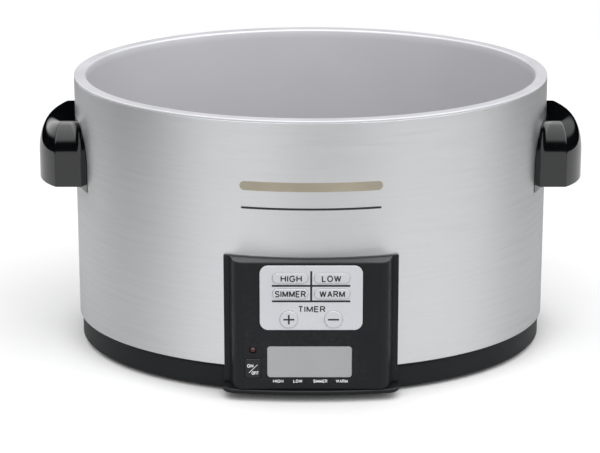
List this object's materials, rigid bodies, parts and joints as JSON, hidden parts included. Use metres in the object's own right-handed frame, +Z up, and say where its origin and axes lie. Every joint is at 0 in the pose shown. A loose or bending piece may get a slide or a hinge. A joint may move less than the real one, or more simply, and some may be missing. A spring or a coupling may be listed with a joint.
{
  "type": "slow cooker",
  "caption": "Heating base of an oval programmable slow cooker: brushed steel body around an open heating well, black side handles, black base ring and a front panel with keys and a display.",
  "frame": {"origin": "on the surface it stands on, under the centre of its box, which is also the oval's axis", "axes": "+Z up, -Y out of the control panel, +X to the right of someone facing the panel"},
  "size_m": [0.3654, 0.2694, 0.1846],
  "materials": {
    "stainless": "brushed, satin",
    "well_coating": "smooth baked grey coating, satin",
    "black_satin": "satin moulded",
    "black_gloss": "polished moulded",
    "black_rubber": "matt",
    "keypad_silver": "silver painted, satin",
    "key_silver": "silver painted, satin",
    "key_black": "satin moulded",
    "display_lens": "clear window over an unlit grey display",
    "led_red": "unlit red lens",
    "lcd_grey": "grey liquid crystal cell",
    "board_green": "circuit board lacquer",
    "zinc_steel": "zinc-plated steel",
    "heater_mica": "sheet steel over mica insulation",
    "component_black": "moulded component case",
    "transformer_core": "laminated core and windings",
    "wire_sleeve": "insulated wire",
    "sensor_ceramic": "ceramic case"
  },
  "bodies": {
    "base": {"outer_sleeve": "stainless", "heating_well": "well_coating", "base_ring": "black_satin", "bottom_plate": "black_satin", "foot_1": "black_rubber", "foot_2": "black_rubber", "foot_3": "black_rubber", "foot_4": "black_rubber", "base_screw_1": "zinc_steel", "base_screw_2": "zinc_steel", "base_screw_3": "zinc_steel", "base_screw_4": "zinc_steel", "handle_left": "black_gloss", "handle_right": "black_gloss", "handle_plate_left": "zinc_steel", "handle_plate_right": "zinc_steel", "handle_screw_left_1": "zinc_steel", "handle_screw_left_2": "zinc_steel", "handle_screw_right_1": "zinc_steel", "handle_screw_right_2": "zinc_steel", "control_housing": "black_satin", "keypad_plate": "keypad_silver", "display_window": "display_lens", "lcd_module": "lcd_grey", "power_led": "led_red", "control_board": "board_green", "switch_high": "component_black", "switch_low": "component_black", "switch_simmer": "component_black", "switch_warm": "component_black", "switch_plus": "component_black", "switch_minus": "component_black", "switch_power": "component_black", "heat_shield": "zinc_steel", "tie_bracket": "zinc_steel", "tie_bolt": "zinc_steel", "tie_washer": "zinc_steel", "tie_nut": "zinc_steel", "heater_band": "heater_mica", "clamp_bolt": "zinc_steel", "clamp_nut": "zinc_steel", "temperature_sensor": "sensor_ceramic", "sensor_clip": "zinc_steel", "thermal_fuse": "sensor_ceramic", "cord_gland": "black_rubber", "power_board": "board_green", "relay": "component_black", "transformer": "transformer_core", "filter_capacitor": "component_black", "ribbon_cable": "wire_sleeve", "heater_lead_1": "wire_sleeve", "heater_lead_2": "wire_sleeve"},
    "key_high": {"key_high": "key_silver"},
    "key_low": {"key_low": "key_silver"},
    "key_simmer": {"key_simmer": "key_silver"},
    "key_warm": {"key_warm": "key_silver"},
    "key_plus": {"key_plus": "key_silver"},
    "key_minus": {"key_minus": "key_silver"},
    "power_button": {"power_button": "key_black"}
  },
  "joints": [
    {"name": "key_high_press", "type": "slide", "parent": "base", "child": "key_high", "axis": [0, 1, 0], "range_m": [0, 0.0006], "stiffness_N_per_m": 300},
    {"name": "key_low_press", "type": "slide", "parent": "base", "child": "key_low", "axis": [0, 1, 0], "range_m": [0, 0.0006], "stiffness_N_per_m": 300},
    {"name": "key_simmer_press", "type": "slide", "parent": "base", "child": "key_simmer", "axis": [0, 1, 0], "range_m": [0, 0.0006], "stiffness_N_per_m": 300},
    {"name": "key_warm_press", "type": "slide", "parent": "base", "child": "key_warm", "axis": [0, 1, 0], "range_m": [0, 0.0006], "stiffness_N_per_m": 300},
    {"name": "key_plus_press", "type": "slide", "parent": "base", "child": "key_plus", "axis": [0, 1, 0], "range_m": [0, 0.0006], "stiffness_N_per_m": 300},
    {"name": "key_minus_press", "type": "slide", "parent": "base", "child": "key_minus", "axis": [0, 1, 0], "range_m": [0, 0.0006], "stiffness_N_per_m": 300},
    {"name": "power_key_press", "type": "slide", "parent": "base", "child": "power_button", "axis": [0, 1, 0], "range_m": [0, 0.0005], "stiffness_N_per_m": 300}
  ]
}
